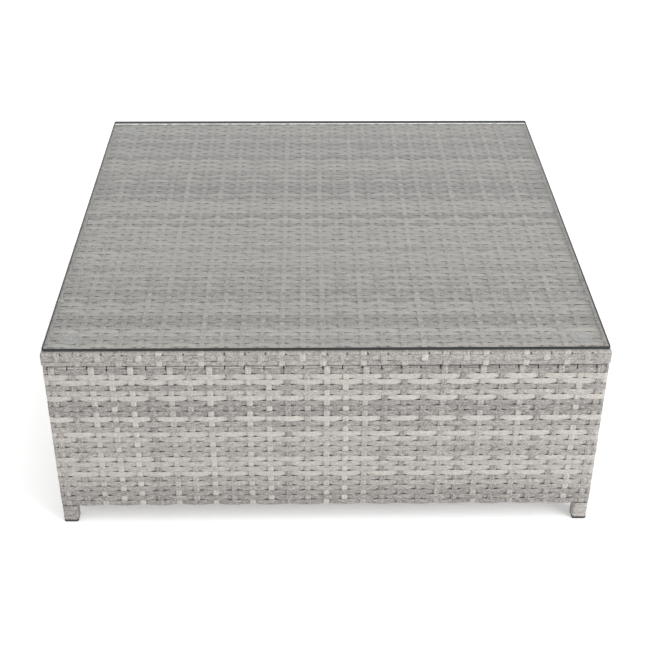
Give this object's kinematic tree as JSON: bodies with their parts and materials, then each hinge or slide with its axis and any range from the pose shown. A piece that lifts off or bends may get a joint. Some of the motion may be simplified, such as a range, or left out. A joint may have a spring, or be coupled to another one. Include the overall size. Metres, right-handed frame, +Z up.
{
  "type": "wicker storage coffee table",
  "caption": "Low square garden coffee table: box woven from flat strands on a tube frame, wrapped feet, hinged woven storage lid with gas struts and a smoked glass top",
  "frame": {"origin": "middle of the table's footprint on the floor", "axes": "+Z up; the lid's hinge runs along X at the back, +Y side; +X is to the right seen from the front"},
  "size_m": [1, 1.0065, 0.393],
  "materials": {
    "strand": "flat extruded strand with fine streaks, pale grey-beige, each strand its own tone",
    "smoked_glass": "clear polished, grey-green tint, ground edge",
    "clear_pad": "soft clear plastic",
    "foot_plastic": "moulded, fine grain",
    "frame_paint": "powder coat, satin",
    "hinge_steel": "zinc plated",
    "screw_steel": "zinc plated",
    "bracket_steel": "black powder coat",
    "strut_black": "gloss black enamel",
    "strut_chrome": "polished rod",
    "bumper_rubber": "soft black rubber"
  },
  "bodies": {
    "base": {"leg_front_left": "frame_paint", "leg_front_right": "frame_paint", "leg_back_left": "frame_paint", "leg_back_right": "frame_paint", "foot_cap_front_left": "foot_plastic", "foot_cap_front_right": "foot_plastic", "foot_cap_back_left": "foot_plastic", "foot_cap_back_right": "foot_plastic", "leg_wrap_front_left": "strand", "leg_wrap_front_right": "strand", "leg_wrap_back_left": "strand", "leg_wrap_back_right": "strand", "top_rail_front": "frame_paint", "top_rail_right": "frame_paint", "top_rail_back": "frame_paint", "top_rail_left": "frame_paint", "bottom_rail_front": "frame_paint", "bottom_rail_right": "frame_paint", "bottom_rail_back": "frame_paint", "bottom_rail_left": "frame_paint", "upright_front": "frame_paint", "upright_right": "frame_paint", "upright_back": "frame_paint", "upright_left": "frame_paint", "floor_bars": "frame_paint", "floor_weave": "strand", "weave_front": "strand", "weave_right": "strand", "weave_back": "strand", "weave_left": "strand", "hinge_left_box_leaf": "hinge_steel", "hinge_right_box_leaf": "hinge_steel", "hinge_pins": "hinge_steel", "strut_left_box_bracket": "bracket_steel", "strut_right_box_bracket": "bracket_steel", "box_screws": "screw_steel", "lid_bumpers": "bumper_rubber"},
    "lid": {"lid_rail_front": "frame_paint", "lid_rail_right": "frame_paint", "lid_rail_back": "frame_paint", "lid_rail_left": "frame_paint", "lid_crossbars": "frame_paint", "lid_weave_top": "strand", "lid_band_front": "strand", "lid_band_right": "strand", "lid_band_back": "strand", "lid_band_left": "strand", "glass_top": "smoked_glass", "glass_pads": "clear_pad", "hinge_left_lid_leaf": "hinge_steel", "hinge_right_lid_leaf": "hinge_steel", "strut_left_lid_bracket": "bracket_steel", "strut_right_lid_bracket": "bracket_steel", "lid_screws": "screw_steel"},
    "strut_left_cylinder": {"strut_left_cylinder": "strut_black"},
    "strut_left_rod": {"strut_left_rod": "strut_chrome", "strut_left_rod_stud": "bracket_steel"},
    "strut_right_cylinder": {"strut_right_cylinder": "strut_black"},
    "strut_right_rod": {"strut_right_rod": "strut_chrome", "strut_right_rod_stud": "bracket_steel"}
  },
  "joints": [
    {"name": "lid_hinge", "type": "hinge", "parent": "base", "child": "lid", "pos_m": [0, 0.5035, 0.3565], "axis": [-1, 0, 0], "range_deg": [0, 65]},
    {"name": "strut_left_swing", "type": "hinge", "parent": "base", "child": "strut_left_cylinder", "pos_m": [-0.452, 0.4535, 0.2365], "axis": [-1, 0, 0], "range_deg": [0, 38.34]},
    {"name": "strut_left_slide", "type": "slide", "parent": "strut_left_cylinder", "child": "strut_left_rod", "axis": [0, -0.6345, 0.7729], "range_m": [0, 0.09761]},
    {"name": "strut_right_swing", "type": "hinge", "parent": "base", "child": "strut_right_cylinder", "pos_m": [0.452, 0.4535, 0.2365], "axis": [-1, 0, 0], "range_deg": [0, 38.34]},
    {"name": "strut_right_slide", "type": "slide", "parent": "strut_right_cylinder", "child": "strut_right_rod", "axis": [0, -0.6345, 0.7729], "range_m": [0, 0.09761]}
  ],
  "couplings": [
    {"joint": "strut_left_swing", "follows": "lid_hinge", "ratio": 0.58984},
    {"joint": "strut_left_slide", "follows": "lid_hinge", "m_per_rad": 0.086035},
    {"joint": "strut_right_swing", "follows": "lid_hinge", "ratio": 0.58984},
    {"joint": "strut_right_slide", "follows": "lid_hinge", "m_per_rad": 0.086035}
  ]
}
